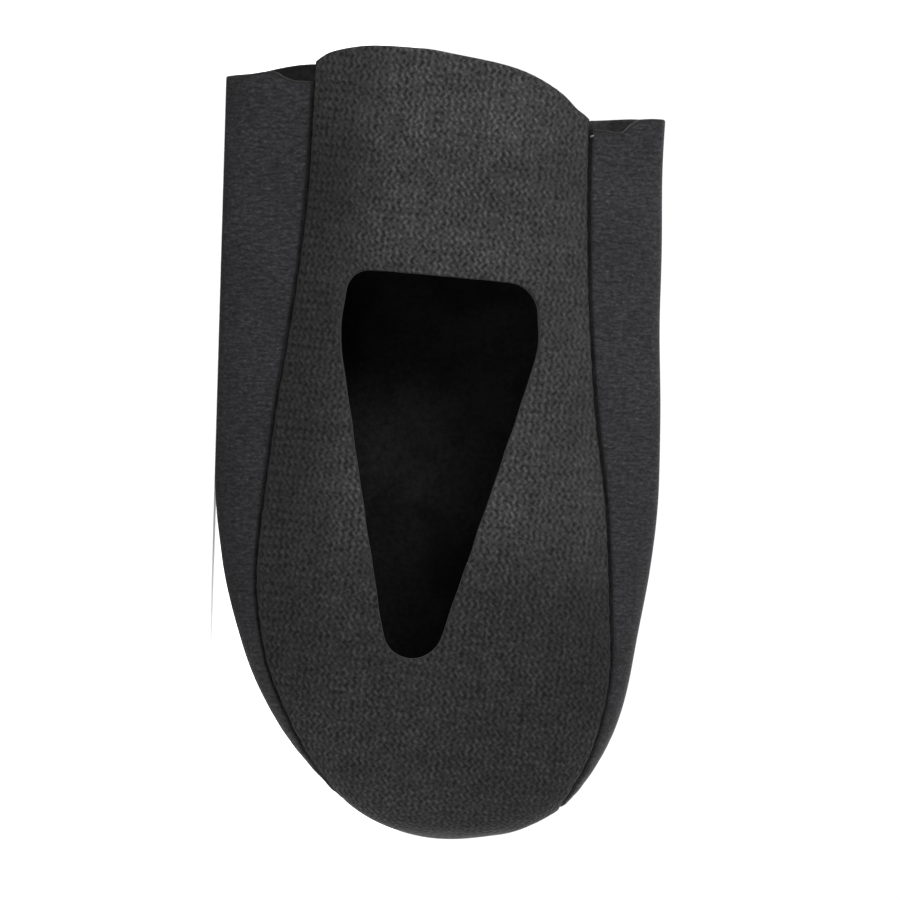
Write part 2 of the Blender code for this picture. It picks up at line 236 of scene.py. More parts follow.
def seam_path(count):
    """The seam's line from the outer collar corner round the toe to the inner one: places, normals,
    the way across it (towards the panel) and the length run, at evenly spaced points."""
    rows = np.linspace(SEAM_LEAD, 1, count // 2)
    low_station, low_turn = seam("low", rows)
    high_station, high_turn = seam("high", rows[-2::-1])
    station = np.concatenate([low_station, high_station])
    turn = np.concatenate([-low_turn, high_turn - 2])
    run = length_run(outer_face(station, turn))
    even = np.linspace(0, run[-1], count)
    station, turn = np.interp(even, run, station), np.interp(even, run, turn)
    place, normal = outer_face(station, turn), outward(station, turn)
    return place, normal, unit(np.cross(normal, np.gradient(place, axis=0))), even


SEAM_PLACE, SEAM_NORMAL, SEAM_ACROSS, SEAM_RUN = seam_path(SEAM_POINTS)


def nearest(points, line):
    """Distance from each point to the nearest point of a line, and which one that is."""
    flat = points.reshape(-1, 3)
    squares = (line ** 2).sum(axis=1)
    gap, which = np.empty(len(flat)), np.empty(len(flat), int)
    for part in np.array_split(np.arange(len(flat)), max(1, len(flat) // 4000)):
        away = squares - 2 * flat[part] @ line.T
        which[part] = away.argmin(axis=1)
        gap[part] = np.linalg.norm(flat[part] - line[which[part]], axis=1)
    return gap.reshape(points.shape[:-1]), which.reshape(points.shape[:-1])


def rolled(gap, width, drop):
    """How far a sheet's face has dropped at a gap from its edge: a quarter of an ellipse."""
    share = np.clip(1 - gap / width, 0, 1)
    return drop * (1 - np.sqrt(1 - share ** 2))


def soft_relief(place):
    """Swells of a few waves that cross each other, plus every crease: its height times a bell of
    the distance from its line."""
    height = sum(SWELL * np.sin(place @ np.array(wave[:3]) * 2 + wave[3]) for wave in SWELL_WAVES) / 2
    for from_station, from_turn, to_station, to_turn, width, rise in CREASES:
        start, end = outer_face([from_station, to_station], [from_turn, to_turn])
        way = end - start
        share = np.clip((place - start) @ way / (way @ way), 0, 1)
        gap = np.linalg.norm(place - start - share[..., None] * way, axis=-1)
        taper = CREASE_ENDS + (1 - CREASE_ENDS) * np.sin(np.pi * share)
        height = height + rise * taper * np.exp(-(gap / width) ** 2)
    off_floor = np.clip(place[..., 2] / FLOOR_EASE, 0, 1)
    return height * off_floor


def faces_of_sheet(station, turn, wall, free_edge, side):
    """Outer and inner grid of a sheet. Outside it has the soft relief, the puckers along the seam
    and the rolled seam edge, inside the same relief one wall lower, and both are rounded at a cut.
    Near the seam the sheet is drawn back to its own side by half the slit."""
    place, normal = outer_face(station, turn), outward(station, turn)
    seam_gap, which = nearest(place, SEAM_PLACE)
    drawn = side * SEAM_SLIT * np.clip(1 - seam_gap / SEAM_ROLL, 0, 1)
    place = place + drawn[..., None] * SEAM_ACROSS[which]
    cut_gap, _ = nearest(place, free_edge)
    soft = soft_relief(place)
    run = SEAM_RUN[which]
    wave = np.sin(2 * np.pi * run / PUCKER_LENGTH + PUCKER_DRIFT * np.sin(run / PUCKER_STRAY))
    pucker = PUCKER * wave * np.exp(-(seam_gap / PUCKER_REACH) ** 2)
    cut = rolled(cut_gap, CUT_RADIUS, CUT_RADIUS)
    high = soft + pucker - np.maximum(rolled(seam_gap, SEAM_ROLL, SEAM_DROP), cut)
    deep = soft - wall + cut
    outer = place + normal * high[..., None]
    inner = place + normal * deep[..., None]
    outer[..., 2] = np.maximum(outer[..., 2], FLOOR_GAP)
    inner[..., 2] = np.maximum(inner[..., 2], wall * PRESSED)
    return outer, inner, seam_gap, cut_gap


MAP_STATIONS = np.linspace(0, 1, 181)
MAP_TURNS = np.linspace(-1, 1, 361)


def round_lengths():
    """Table of the signed length round each section, from the middle of the sole."""
    grid = outer_face(MAP_STATIONS[:, None], np.clip(MAP_TURNS, -0.9999, 0.9999)[None, :])
    step = np.linalg.norm(np.diff(grid, axis=1), axis=2)
    run = np.concatenate([np.zeros((len(grid), 1)), np.cumsum(step, axis=1)], axis=1)
    return run - run[:, len(MAP_TURNS) // 2][:, None], grid[:, len(MAP_TURNS) // 2]


ROUND_RUN, MIDDLE_LINE = round_lengths()


def read_map(table, station, turn):
    """Reads a table of stations and turns between its points."""
    row = np.clip(station, 0, 1) * (len(MAP_STATIONS) - 1)
    column = (np.clip(turn, -1, 1) + 1) / 2 * (len(MAP_TURNS) - 1)
    i = np.minimum(row.astype(int), len(MAP_STATIONS) - 2)
    j = np.minimum(column.astype(int), len(MAP_TURNS) - 2)
    s, t = row - i, column - j
    return ((table[i, j] * (1 - t) + table[i, j + 1] * t) * (1 - s)
            + (table[i + 1, j] * (1 - t) + table[i + 1, j + 1] * t) * s)


def cloth_places(station, turn):
    """Places in the cloth before it was sewn, across and along, in metres: the lengths round the
    section and from the tip. Near the tip both turn into the sine and cosine of the way round it."""
    turn = (turn + 1) % 2 - 1
    run = read_map(ROUND_RUN, station, turn)
    half = np.where(turn < 0, np.interp(station, MAP_STATIONS, -ROUND_RUN[:, 0]),
                    np.interp(station, MAP_STATIONS, ROUND_RUN[:, -1]))
    angle = np.pi * np.clip(run / np.maximum(half, 1e-6), -1, 1)
    steps = np.linalg.norm(np.diff(MIDDLE_LINE, axis=0), axis=1)
    left = np.interp(station, MAP_STATIONS, np.concatenate([np.cumsum(steps[::-1])[::-1], [0]]))
    far = np.clip((left - TIP_ROUND) / TIP_BLEND, 0, 1)
    far = far * far * (3 - 2 * far)
    way = np.cos(angle) * (1 - far) + far
    middle = np.interp(station, MAP_STATIONS, MIDDLE_LINE[:, 2])
    across = half / np.pi * np.sin(angle) * (1 - far) + run * far
    return middle + across, LENGTH - left * way


def spread(width, first, last, count):
    """Shares from 0 to 1 across a width, with columns at set distances from each end."""
    width = np.atleast_1d(width)[:, None]
    fit = np.minimum(1, 0.3 * width / max(first[-1], last[-1])) / width
    start, end = np.array(first) * fit, 1 - np.array(last[::-1]) * fit
    middle = start[:, -1:] + (end[:, :1] - start[:, -1:]) * np.linspace(0, 1, count + 2)[1:-1]
    return np.concatenate([start, middle, end], axis=1)


def edge_steps(width, count):
    """Distances from an edge that follow a quarter of a circle."""
    return width * (1 - np.cos(np.linspace(0, np.pi / 2, count)))


def put(name, data):
    """A new object in the scene."""
    thing = bpy.data.objects.new(name, data)
    bpy.context.collection.objects.link(thing)
    return thing


def make_piece(name, points, groups, materials, cloth=None, **marks):
    """A mesh from points and groups of faces, each group with its material's number. cloth is each
    point's place in the cloth, kept as a map of tenths of a metre, and marks are lengths in
    millimetres kept on the points."""
    faces = [face for _, group in groups for face in group.tolist()]
    slots = np.concatenate([np.full(len(group), slot) for slot, group in groups])
    data = bpy.data.meshes.new(name)
    data.from_pydata(points, [], faces)
    if cloth is not None:
        corner = np.empty(len(data.loops), int)
        data.loops.foreach_get("vertex_index", corner)
        data.uv_layers.new(name="cloth").data.foreach_set("uv", (cloth[corner] * 10).ravel())
    for mark, length in marks.items():
        data.attributes.new(mark, "FLOAT", "POINT").data.foreach_set("value", length * 1000)
    data.polygons.foreach_set("material_index", slots)
    data.polygons.foreach_set("use_smooth", np.ones(len(slots), bool))
    for material in materials:
        data.materials.append(material)
    data.update()
    data.validate()
    return put(name, data)


def make_sheet(name, sheet, groups, materials, cloth):
    """A piece from both faces of a sheet, outer then inner, as faces_of_sheet gives them."""
    outer, inner, seam_gap, cut_gap = sheet
    return make_piece(name, np.concatenate([outer.reshape(-1, 3), inner.reshape(-1, 3)]), groups,
                      materials, np.tile(np.stack(cloth, axis=-1).reshape(-1, 2), (2, 1)),
                      seam_mm=np.tile(seam_gap.ravel(), 2), cut_mm=np.tile(cut_gap.ravel(), 2))


def quads(index):
    """Four-sided faces of a grid of point numbers."""
    around = (index[:-1, :-1], index[:-1, 1:], index[1:, 1:], index[1:, :-1])
    return np.stack(around, axis=-1).reshape(-1, 4)


def strip(upper_line, lower_line):
    """Four-sided faces between two lines of point numbers."""
    return np.stack([upper_line[1:], upper_line[:-1], lower_line[:-1], lower_line[1:]], axis=-1)


def upper_stations():
    """Stations and turns of the upper's grid: rows run from the collar to the seam's foremost
    point, columns from the outer seam over the instep to the inner one."""
    shares = np.concatenate([edge_steps(1.6 * CUT_RADIUS, 6) / ROW_LENGTH,
                             np.linspace(0, 1, UPPER_ROWS)[1:]])
    dense = np.linspace(0, 1, 400)
    corner_turns = (-seam("low", 0)[1], seam("high", 0)[1])
    setback = smooth(COLLAR["turn"], COLLAR["upper"], corner_turns) * COLLAR_SLANT
    starts = [np.interp(station_at(back), seam(side, dense)[0], dense)
              for side, back in zip(("low", "high"), setback)]
    (low_station, low_turn), (high_station, high_turn) = (
        seam(side, start + (1 - start) * shares) for side, start in zip(("low", "high"), starts))
    turn_span = 2 - high_turn - low_turn
    probe = -low_turn[:, None] - turn_span[:, None] * np.linspace(0, 1, 60)
    width = np.linalg.norm(np.diff(outer_face(low_station[:, None], probe), axis=1), axis=2).sum(axis=1)
    roll = edge_steps(SEAM_ROLL, 8)
    share = spread(np.maximum(width, 1e-5), roll, roll, UPPER_COLUMNS)
    turn = -low_turn[:, None] * (1 - share) + (high_turn[:, None] - 2) * share
    at_collar = smooth(COLLAR["turn"], COLLAR["upper"], (turn[0] + 1) % 2 - 1)
    edge = station_at(at_collar * COLLAR_SLANT)
    at_ends = low_station[:, None] * (1 - share) + high_station[:, None] * share
    middle = edge[len(edge) // 2] * (1 - shares) + low_station[-1] * shares
    station = at_ends + (middle[:, None] - at_ends) * (1 - np.abs(2 * share - 1) ** MIDDLE_BLEND)
    ease = np.clip(1 - shares / COLLAR_EASE, 0, 1)[:, None] ** 2
    return station + (edge - station[0]) * ease, turn


def linear(code):
    """A hex colour as linear light, with full alpha."""
    parts = [int(code[i:i + 2], 16) / 255 for i in (1, 3, 5)]
    return [c / 12.92 if c <= 0.04045 else ((c + 0.055) / 1.055) ** 2.4 for c in parts] + [1]


def add(tree, kind, links, **settings):
    """Adds a shader node, such as Math or Bump, with its settings. links maps each of its sockets to
    a number, a node or an output."""
    node = tree.nodes.new("ShaderNode" + kind)
    for name, value in settings.items():
        setattr(node, name, value)
    for socket, value in links.items():
        if isinstance(value, bpy.types.Node):
            value = value.outputs[0]
        if isinstance(value, bpy.types.NodeSocket):
            tree.links.new(value, node.inputs[socket])
        else:
            node.inputs[socket].default_value = value
    return node


def new_cloth(name, **shader_values):
    """A material with its shader's fixed values set on its own sockets."""
    material = bpy.data.materials.new(name)
    material.use_nodes = True
    shader = material.node_tree.nodes["Principled BSDF"]
    for socket, value in shader_values.items():
        shader.inputs[socket.replace("_", " ")].default_value = value
    return material, material.node_tree, shader


def finish_cloth(tree, shader, colour, relief, strength, depth):
    """Gives a cloth's shader its colour and its relief as bumps, with their depth in metres."""
    tree.links.new(colour, shader.inputs["Base Color"])
    bump = add(tree, "Bump", {"Height": relief, "Strength": strength, "Distance": depth})
    tree.links.new(bump.outputs[0], shader.inputs["Normal"])


def dye_times_seam_shade(tree, cloth, size, detail, tufts, loosened, dark, light):
    """How light a cloth is: the broad blotches of its dye times a painted shade in the seam, from dark
    to light by the distance in millimetres plus the tufts' height times how loose they are."""
    blotch = add(tree, "TexNoise", {"Vector": cloth, "Scale": size, "Detail": detail},
                 noise_dimensions="2D")
    broad = add(tree, "MapRange", {0: blotch, 1: 0.3, 2: 0.7, 3: 0.90, 4: 1.10})
    near = add(tree, "Attribute", {}, attribute_name="seam_mm")
    # The distance from the seam, made ragged by the tufts, sets where the painted shade in the seam ends
    ragged_seam_gap = add(tree, "Math", {0: tufts, 1: loosened, 2: near.outputs["Fac"]}, operation="MULTIPLY_ADD")
    painted_seam_shade = add(tree, "MapRange", {0: ragged_seam_gap, 1: dark, 2: light, 3: 0.25, 4: 1.0})
    return add(tree, "Math", {0: broad, 1: painted_seam_shade}, operation="MULTIPLY")


def jersey_on_foam():
    """Smooth knitted jersey bonded to foam, in black dye. The eye gets a matt, slightly cool grey with
    fine ribs across the foot, 1 mm apart, and a few light fibres. Painted shade darkens it in the seam
    and, gradually, towards the toe."""
    material, tree, shader = new_cloth("jersey_faced_foam", Roughness=0.82, Sheen_Weight=0.03,
                                       Sheen_Roughness=0.5, Specular_IOR_Level=0.10)
    cloth = add(tree, "UVMap", {}, uv_map="cloth")
    ribs_at = add(tree, "Mapping", {"Vector": cloth, "Scale": (32, 125, 1)})
    ribs = add(tree, "TexNoise", {"Vector": ribs_at, "Scale": 1.0, "Detail": 3.0,
                                  "Roughness": 0.6}, noise_dimensions="2D")
    fibre_at = add(tree, "Mapping", {"Vector": cloth, "Scale": (90, 150, 1)})
    fibre = add(tree, "TexNoise", {"Vector": fibre_at, "Scale": 1.0, "Detail": 2.0,
                                   "Roughness": 0.7}, noise_dimensions="2D")
    rib_light = add(tree, "MapRange", {0: ribs, 1: 0.35, 2: 0.65, 3: 0.0, 4: 0.72})
    fibre_light = add(tree, "MapRange", {0: fibre, 1: 0.3, 2: 0.75, 3: 0.0, 4: 0.5})
    value = add(tree, "Math", {0: rib_light, 1: fibre, 2: fibre_light}, operation="MULTIPLY_ADD")
    tone = add(tree, "MapRange", {0: value, 1: 0.0, 2: 1.1})
    shade = add(tree, "Mix", {"Factor": tone, 6: linear("#111113"), 7: linear("#313133")},
                data_type="RGBA")
    fleck = add(tree, "MapRange", {0: fibre, 1: 0.70, 2: 0.80, 3: 0.0, 4: 0.55})
    flecked = add(tree, "Mix", {"Factor": fleck, 6: shade.outputs[2], 7: linear("#4c4c4f")},
                  data_type="RGBA")
    # Dye blotches times a painted shade where the jersey rolls into the seam
    dye_and_seam_shade = dye_times_seam_shade(tree, cloth, 7.0, 2.0, fibre, -1.6, -0.75, -0.30)
    spot = add(tree, "SeparateXYZ", {0: cloth})
    # Painted shade: the jersey darkens from the rear towards the toe
    painted_toe_shade = add(tree, "MapRange", {0: spot.outputs[1], 1: 0.3, 2: 1.4, 3: 0.97, 4: 0.82})
    dye_and_painted_shading = add(tree, "Math", {0: dye_and_seam_shade, 1: painted_toe_shade}, operation="MULTIPLY")
    colour = add(tree, "VectorMath", {0: flecked.outputs[2], 3: dye_and_painted_shading}, operation="SCALE")
    finish_cloth(tree, shader, colour.outputs[0], tone, 0.6, 0.00022)
    return material


def cut_foam():
    """The raw cut of foam and knit, made by a knife. The eye gets a thin dark line, fuzzy with cut
    fibres, that is pale only where the light strikes along it."""
    material, tree, shader = new_cloth("knife_cut_edge", Roughness=0.95, Sheen_Weight=0.05,
                                       Sheen_Roughness=0.6, Specular_IOR_Level=0.08)
    place = add(tree, "TexCoord", {}).outputs["Object"]
    fuzz = add(tree, "TexNoise", {"Vector": place, "Scale": 2200.0, "Detail": 3.0, "Roughness": 0.7})
    tone = add(tree, "MapRange", {0: fuzz, 1: 0.3, 2: 0.7})
    shade = add(tree, "Mix", {"Factor": tone, 6: linear("#0e0e0f"), 7: linear("#1e1e1f")},
                data_type="RGBA")
    finish_cloth(tree, shader, shade.outputs[2], tone, 0.6, 0.00018)
    return material


def brushed_lining():
    """Black lining brushed to a short nap. It swallows light, with faint streaks, a painted pool of light
    on the instep behind the cleat window, and painted light along the collar's edge, stronger higher up."""
    material, tree, shader = new_cloth("brushed_black_lining", Roughness=0.95, Sheen_Weight=0.02,
                                       Sheen_Roughness=0.6, Specular_IOR_Level=0.05)
    place = add(tree, "TexCoord", {}).outputs["Object"]
    nap = add(tree, "TexNoise", {"Vector": place, "Scale": 900.0, "Detail": 3.0, "Roughness": 0.65})
    streaks = add(tree, "TexNoise", {"Vector": place, "Scale": 75.0, "Detail": 3.0, "Distortion": 0.8})
    mixed = add(tree, "Math", {0: nap, 1: streaks}, operation="MULTIPLY")
    tone = add(tree, "MapRange", {0: mixed, 1: 0.14, 2: 0.36})
    shade = add(tree, "Mix", {"Factor": tone, 6: linear("#050505"), 7: linear("#101010")},
                data_type="RGBA")
    edge = add(tree, "Attribute", {}, attribute_name="cut_mm")
    height = add(tree, "SeparateXYZ", {0: place})
    # Painted light: the lining is lighter near the collar's cut edge, the more so the higher it lies
    painted_light_by_height = add(tree, "MapRange", {0: height.outputs[2], 1: 0.03, 2: 0.08, 3: 1.6, 4: 5.5})
    painted_collar_light = add(tree, "MapRange", {0: edge.outputs["Fac"], 1: 2.0, 2: 11.0,
                                  3: painted_light_by_height, 4: 1.0}, interpolation_type="SMOOTHSTEP")
    # Painted pool of light on the instep's lining, up to 2.1 times lighter at its middle
    away = add(tree, "VectorMath", {0: place, 1: LIT_PATCH_MIDDLE}, operation="DISTANCE")
    painted_light_patch = add(tree, "MapRange", {0: away.outputs[1], 1: 0.004, 2: 0.032,
                                     3: 2.1, 4: 1.0}, interpolation_type="SMOOTHSTEP")
    # The painted light factor: painted light at the collar's edge times the painted pool of light
    painted_light_factor = add(tree, "Math", {0: painted_collar_light, 1: painted_light_patch}, operation="MULTIPLY")
    lit = add(tree, "VectorMath", {0: shade.outputs[2], 3: painted_light_factor}, operation="SCALE")
    finish_cloth(tree, shader, lit.outputs[0], nap, 0.5, 0.0002)
    return material


JERSEY, CUT, LINING = jersey_on_foam(), cut_foam(), brushed_lining()

station, turn = upper_stations()
upper_sheet = faces_of_sheet(station, turn, UPPER_WALL, outer_face(station[0], turn[0]), -1)
# The jersey's map runs round the cover as far as the tip
cloth = read_map(ROUND_RUN, station, (turn + 1) % 2 - 1), cloth_places(station, turn)[1]
out = np.arange(station.size).reshape(station.shape)
out[-1] = out[-1, 0]
back = out + station.size
tip = np.full(out.shape[1] - 1, out[-1, 0])
upper_groups = (
    (1, quads(out[:CUT_ROWS])),
    (0, quads(out[CUT_ROWS - 1:-1])),
    (0, np.stack([out[-2, :-1], out[-2, 1:], tip], axis=-1)),
    (2, quads(back[:-1])[:, ::-1]),
    (2, np.stack([tip + station.size, back[-2, 1:], back[-2, :-1]], axis=-1)),
    (1, strip(out[0], back[0])),
    (1, strip(out[::-1, 0], back[::-1, 0])),
    (1, strip(out[:, -1], back[:, -1])),
)
upper = make_sheet("stretch_upper", upper_sheet, upper_groups, (JERSEY, CUT, LINING), cloth)
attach(upper, "root")
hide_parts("upper")

# The sole panel

# Coarse hard-wearing knit, 2 mm thick, cut to the sole's outline with a cleat window knifed
# through it, and wrapped up round the tip of the toe. Its wales run along the foot, a little askew,
# and each loop's two legs lean to and fro, which gives upright zigzags.
PANEL_WALL = 0.0020
WINDOW_LENGTH = 0.0926
WINDOW_WIDTH = 0.0476
WINDOW_START = 0.0543
WINDOW_MIDDLE = 0.0532
# Corners of the window: along as a share of its length, across and radius as shares of its width
WINDOW_CORNERS = (
    (-0.010, -0.475, 0.12),
    (0.165, -0.515, 0.60),
    (1.240, -0.138, 0.151),
    (0.190, 0.505, 0.60),
    (0.020, 0.485, 0.17),
)
# The domed rear edge, from the outer seam to the inner one, as a share of the collar's slant
PANEL_EDGE = {
    "across": (-1.00, -0.85, -0.50, -0.20, 0.00, 0.36, 0.70, 0.88, 1.00),
    "setback": (0.25, 0.10, 0.00, 0.03, 0.11, 0.28, 0.60, 0.87, 1.00),
}
PANEL_COLUMNS = 460
PANEL_ROWS = 66
WINDOW_CUT_ROWS = 3         # rows of the grid that show the cut at the window
KNIFE_SHAKE = 0.00005       # how far the knife strayed round the window
WALE = 1.56                 # mm from one wale to the next
COURSE = 2.20               # mm from one zigzag to the next, which is two courses
LEAN = 0.33                 # mm that each leg leans to its side
TUFT = 0.95                 # mm from one tuft of the textured yarn to the next
MOTTLE = 4.5                # mm over which the loops change from tight to slack
KNIT_TILT = math.radians(4.5)


def rounded(corners, steps):
    """An outline with each corner (along, across, radius) turned on an arc."""
    outline = []
    for i, (along, across, radius) in enumerate(corners):
        here = np.array((along, across))
        back = np.array(corners[i - 1][:2]) - here
        ahead = np.array(corners[(i + 1) % len(corners)][:2]) - here
        back, ahead = back / np.linalg.norm(back), ahead / np.linalg.norm(ahead)
        half = math.acos(np.clip(back @ ahead, -1, 1)) / 2
        middle_way = (back + ahead) / np.linalg.norm(back + ahead)
        centre = here + middle_way * radius / math.sin(half)
        side_way = (ahead - back) / np.linalg.norm(ahead - back)
        angle = (math.pi / 2 - half) * np.linspace(-1, 1, steps + 1)[:, None]
        outline.append(centre + radius * (np.sin(angle) * side_way - np.cos(angle) * middle_way))
    return np.concatenate(outline)


def window_outline(count):
    """The window's outline at evenly spaced points, with a knife's slight unsteadiness."""
    corners = [(WINDOW_START + along * WINDOW_LENGTH, WINDOW_MIDDLE + across * WINDOW_WIDTH,
                radius * WINDOW_WIDTH) for along, across, radius in WINDOW_CORNERS]
    line = rounded(corners, 24)
    line = np.concatenate([line, line[:1]])
    run = length_run(line)
    even = np.linspace(0, run[-1], count, endpoint=False)
    x, z = (np.interp(even, run, line[:, k]) for k in (0, 1))
    turn_way = 2 * np.pi * even / run[-1]
    shake = KNIFE_SHAKE * (np.sin(13 * turn_way + 0.6) + np.sin(23 * turn_way + 2.0))
    return x + shake * np.cos(7 * turn_way), z + shake


def turn_at(station, z):
    """The turn on the sole side at which the outer face has a height z, by halving."""
    low, high = np.full_like(z, -SOLE_SHARE), np.full_like(z, SOLE_SHARE)
    for _ in range(40):
        middle = (low + high) / 2
        above = outer_face(station, middle)[..., 2] > z
        low, high = np.where(above, low, middle), np.where(above, middle, high)
    return (low + high) / 2


def on_plan(station, turn):
    """A plan of the panel without a pole: the way to the tip is one less the station, and its
    direction is the turn as an angle."""
    return np.stack([(1 - station) * np.cos(np.pi * turn), (1 - station) * np.sin(np.pi * turn)], axis=-1)


def off_plan(plan):
    """Station and turn of points on the plan."""
    return 1 - np.hypot(plan[..., 0], plan[..., 1]), np.arctan2(plan[..., 1], plan[..., 0]) / np.pi


def panel_outline():
    """The panel's outline on the plan: its domed rear edge, then the seam round the toe."""
    across = np.linspace(1, -1, 300)
    setback = smooth(PANEL_EDGE["across"], PANEL_EDGE["setback"], across) * COLLAR_SLANT
    rear_station = station_at(setback)
    low_turn, high_turn = seam_turns(rear_station)
    share = (across + 1) / 2
    rear = on_plan(rear_station, -low_turn * (1 - share) + high_turn * share)
    dense = np.linspace(0, 1, 900)
    low, high = (seam(side, np.linspace(np.interp(end, seam(side, dense)[0], dense), 1, 900))
                 for side, end in (("low", rear_station[-1]), ("high", rear_station[0])))
    toe = np.concatenate([on_plan(low[0], -low[1]), on_plan(high[0], high[1])[-2::-1]])
    return rear, toe


def panel_stations():
    """Stations and turns of the panel's grid: rows run outwards from the window to the outline on
    rays from the window's middle, with set steps near both ends."""
    x, z = window_outline(900)
    station = station_at(x)
    window = on_plan(station, turn_at(station, z))
    centre = window.mean(axis=0)
    rear, toe = panel_outline()
    line = np.concatenate([rear[:-1], toe])
    run = length_run(off_plan_places(line))
    even = np.linspace(0, run[-1], PANEL_COLUMNS + 1)[:-1]
    even[np.abs(even - run[len(rear) - 1]).argmin()] = run[len(rear) - 1]
    outline = np.stack([np.interp(even, run, line[:, k]) for k in (0, 1)], axis=-1)
    ray = outline - centre
    far = np.hypot(*ray.T)
    way = ray / far[:, None]
    angle = np.arctan2(*(window - centre).T[::-1])
    near = np.interp(np.arctan2(way[:, 1], way[:, 0]), *sorted_by(angle, np.hypot(*(window - centre).T)),
                     period=2 * np.pi)
    small = 1e-3
    scale_near, scale_far = (
        small / np.linalg.norm(off_plan_places(centre + way * (at + small)[:, None])
                               - off_plan_places(centre + way * at[:, None]), axis=1)
        for at in (near, far - small))
    first = edge_steps(1.5 * CUT_RADIUS, 7)[:, None] * scale_near
    last = edge_steps(SEAM_ROLL, 9)[:, None] * scale_far
    start, end = near + first, far - last[::-1]
    middle = start[-1] + (end[0] - start[-1]) * np.linspace(0, 1, PANEL_ROWS + 2)[1:-1, None]
    reach = np.concatenate([start, middle, end])
    return off_plan(centre + way * reach[..., None])


def off_plan_places(plan):
    """Places on the outer face of points on the plan."""
    return outer_face(*off_plan(plan))


def sorted_by(key, value):
    """Both arrays in the order of the first."""
    order = np.argsort(key)
    return key[order], value[order]


